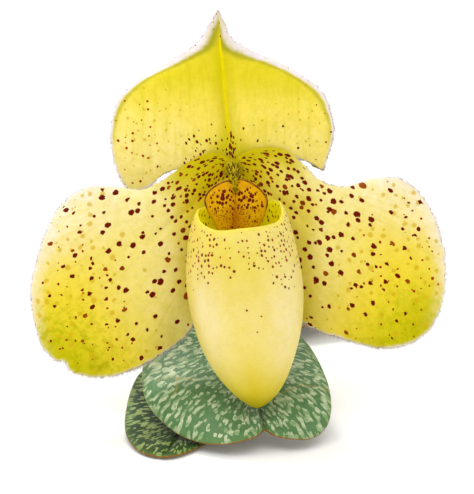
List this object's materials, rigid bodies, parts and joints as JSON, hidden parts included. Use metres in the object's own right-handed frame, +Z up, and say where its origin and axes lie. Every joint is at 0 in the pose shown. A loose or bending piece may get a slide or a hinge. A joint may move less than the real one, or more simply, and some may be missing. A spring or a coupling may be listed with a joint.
{
  "type": "paphiopedilum orchid",
  "caption": "Slipper orchid in flower: spotted sepals and petals round a deep pouch and a shield, on an arching stem over broad mottled leaves, cut flat at its base.",
  "frame": {"origin": "centre of the cut face under the crown, on the surface that the plant rests on", "axes": "+Z up, the flower looks along -Y and 15 degrees upwards, +X to the right of someone who faces the flower"},
  "size_m": [0.0748, 0.1361, 0.0724],
  "materials": {
    "crown": "matte",
    "leaf": "satin",
    "stem": "matte",
    "bract": "matte",
    "sepal": "satin",
    "petal": "satin",
    "lip": "satin",
    "column": "matte",
    "staminode": "gloss"
  },
  "bodies": {
    "root": {"crown": "crown", "leaf_front": "leaf", "leaf_front_low": "leaf", "leaf_back": "leaf", "leaf_back_right": "leaf", "leaf_back_left": "leaf", "scape": "stem", "bract": "bract", "ovary": "stem", "dorsal_sepal": "sepal", "synsepal": "sepal", "petal_left": "petal", "petal_right": "petal", "lip": "lip", "column": "column", "staminode": "staminode"}
  },
  "joints": []
}
